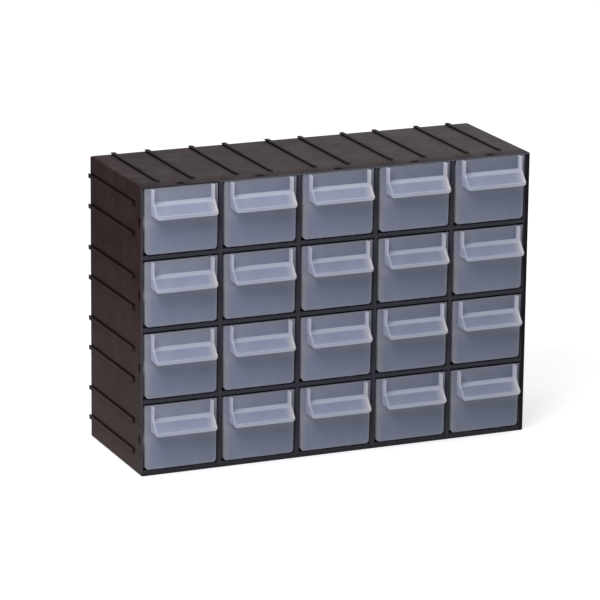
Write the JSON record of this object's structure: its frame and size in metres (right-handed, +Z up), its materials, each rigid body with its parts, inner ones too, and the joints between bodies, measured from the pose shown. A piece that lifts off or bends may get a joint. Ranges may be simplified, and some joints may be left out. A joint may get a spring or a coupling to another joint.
{
  "type": "parts bin cabinet",
  "caption": "Stackable moulded cabinet with a grid of small translucent pull-out drawers for fasteners and parts, with dovetail rails and grooves for joining cabinets.",
  "frame": {"origin": "middle of the outer box in X and Y, at the underside", "axes": "+Z up, +X along the width, the drawers face and open towards -Y"},
  "size_m": [0.3832, 0.1446, 0.2682],
  "materials": {
    "housing": "satin moulded polystyrene",
    "drawer": "frosted translucent polypropylene"
  },
  "bodies": {
    "housing": {"top_wall": "housing", "bottom_wall": "housing", "bottom_front_strip": "housing", "bottom_strips": "housing", "left_rim": "housing", "left_wall": "housing", "right_wall": "housing", "right_front_strip": "housing", "right_strips": "housing", "back_wall": "housing", "divider_1": "housing", "divider_2": "housing", "divider_3": "housing", "divider_4": "housing", "shelf_upper": "housing", "shelf_middle": "housing", "shelf_lower": "housing", "runner_ribs": "housing", "stop_nibs": "housing", "top_rails": "housing", "left_rails": "housing"},
    "bin_r1_c1": {"drawer_r1_c1": "drawer"},
    "bin_r1_c2": {"drawer_r1_c2": "drawer"},
    "bin_r1_c3": {"drawer_r1_c3": "drawer"},
    "bin_r1_c4": {"drawer_r1_c4": "drawer"},
    "bin_r1_c5": {"drawer_r1_c5": "drawer"},
    "bin_r2_c1": {"drawer_r2_c1": "drawer"},
    "bin_r2_c2": {"drawer_r2_c2": "drawer"},
    "bin_r2_c3": {"drawer_r2_c3": "drawer"},
    "bin_r2_c4": {"drawer_r2_c4": "drawer"},
    "bin_r2_c5": {"drawer_r2_c5": "drawer"},
    "bin_r3_c1": {"drawer_r3_c1": "drawer"},
    "bin_r3_c2": {"drawer_r3_c2": "drawer"},
    "bin_r3_c3": {"drawer_r3_c3": "drawer"},
    "bin_r3_c4": {"drawer_r3_c4": "drawer"},
    "bin_r3_c5": {"drawer_r3_c5": "drawer"},
    "bin_r4_c1": {"drawer_r4_c1": "drawer"},
    "bin_r4_c2": {"drawer_r4_c2": "drawer"},
    "bin_r4_c3": {"drawer_r4_c3": "drawer"},
    "bin_r4_c4": {"drawer_r4_c4": "drawer"},
    "bin_r4_c5": {"drawer_r4_c5": "drawer"}
  },
  "joints": [
    {"name": "slide_r1_c1", "type": "slide", "parent": "housing", "child": "bin_r1_c1", "axis": [0, -1, 0], "range_m": [0, 0.112]},
    {"name": "slide_r1_c2", "type": "slide", "parent": "housing", "child": "bin_r1_c2", "axis": [0, -1, 0], "range_m": [0, 0.112]},
    {"name": "slide_r1_c3", "type": "slide", "parent": "housing", "child": "bin_r1_c3", "axis": [0, -1, 0], "range_m": [0, 0.112]},
    {"name": "slide_r1_c4", "type": "slide", "parent": "housing", "child": "bin_r1_c4", "axis": [0, -1, 0], "range_m": [0, 0.112]},
    {"name": "slide_r1_c5", "type": "slide", "parent": "housing", "child": "bin_r1_c5", "axis": [0, -1, 0], "range_m": [0, 0.112]},
    {"name": "slide_r2_c1", "type": "slide", "parent": "housing", "child": "bin_r2_c1", "axis": [0, -1, 0], "range_m": [0, 0.112]},
    {"name": "slide_r2_c2", "type": "slide", "parent": "housing", "child": "bin_r2_c2", "axis": [0, -1, 0], "range_m": [0, 0.112]},
    {"name": "slide_r2_c3", "type": "slide", "parent": "housing", "child": "bin_r2_c3", "axis": [0, -1, 0], "range_m": [0, 0.112]},
    {"name": "slide_r2_c4", "type": "slide", "parent": "housing", "child": "bin_r2_c4", "axis": [0, -1, 0], "range_m": [0, 0.112]},
    {"name": "slide_r2_c5", "type": "slide", "parent": "housing", "child": "bin_r2_c5", "axis": [0, -1, 0], "range_m": [0, 0.112]},
    {"name": "slide_r3_c1", "type": "slide", "parent": "housing", "child": "bin_r3_c1", "axis": [0, -1, 0], "range_m": [0, 0.112]},
    {"name": "slide_r3_c2", "type": "slide", "parent": "housing", "child": "bin_r3_c2", "axis": [0, -1, 0], "range_m": [0, 0.112]},
    {"name": "slide_r3_c3", "type": "slide", "parent": "housing", "child": "bin_r3_c3", "axis": [0, -1, 0], "range_m": [0, 0.112]},
    {"name": "slide_r3_c4", "type": "slide", "parent": "housing", "child": "bin_r3_c4", "axis": [0, -1, 0], "range_m": [0, 0.112]},
    {"name": "slide_r3_c5", "type": "slide", "parent": "housing", "child": "bin_r3_c5", "axis": [0, -1, 0], "range_m": [0, 0.112]},
    {"name": "slide_r4_c1", "type": "slide", "parent": "housing", "child": "bin_r4_c1", "axis": [0, -1, 0], "range_m": [0, 0.112]},
    {"name": "slide_r4_c2", "type": "slide", "parent": "housing", "child": "bin_r4_c2", "axis": [0, -1, 0], "range_m": [0, 0.112]},
    {"name": "slide_r4_c3", "type": "slide", "parent": "housing", "child": "bin_r4_c3", "axis": [0, -1, 0], "range_m": [0, 0.112]},
    {"name": "slide_r4_c4", "type": "slide", "parent": "housing", "child": "bin_r4_c4", "axis": [0, -1, 0], "range_m": [0, 0.112]},
    {"name": "slide_r4_c5", "type": "slide", "parent": "housing", "child": "bin_r4_c5", "axis": [0, -1, 0], "range_m": [0, 0.112]}
  ]
}
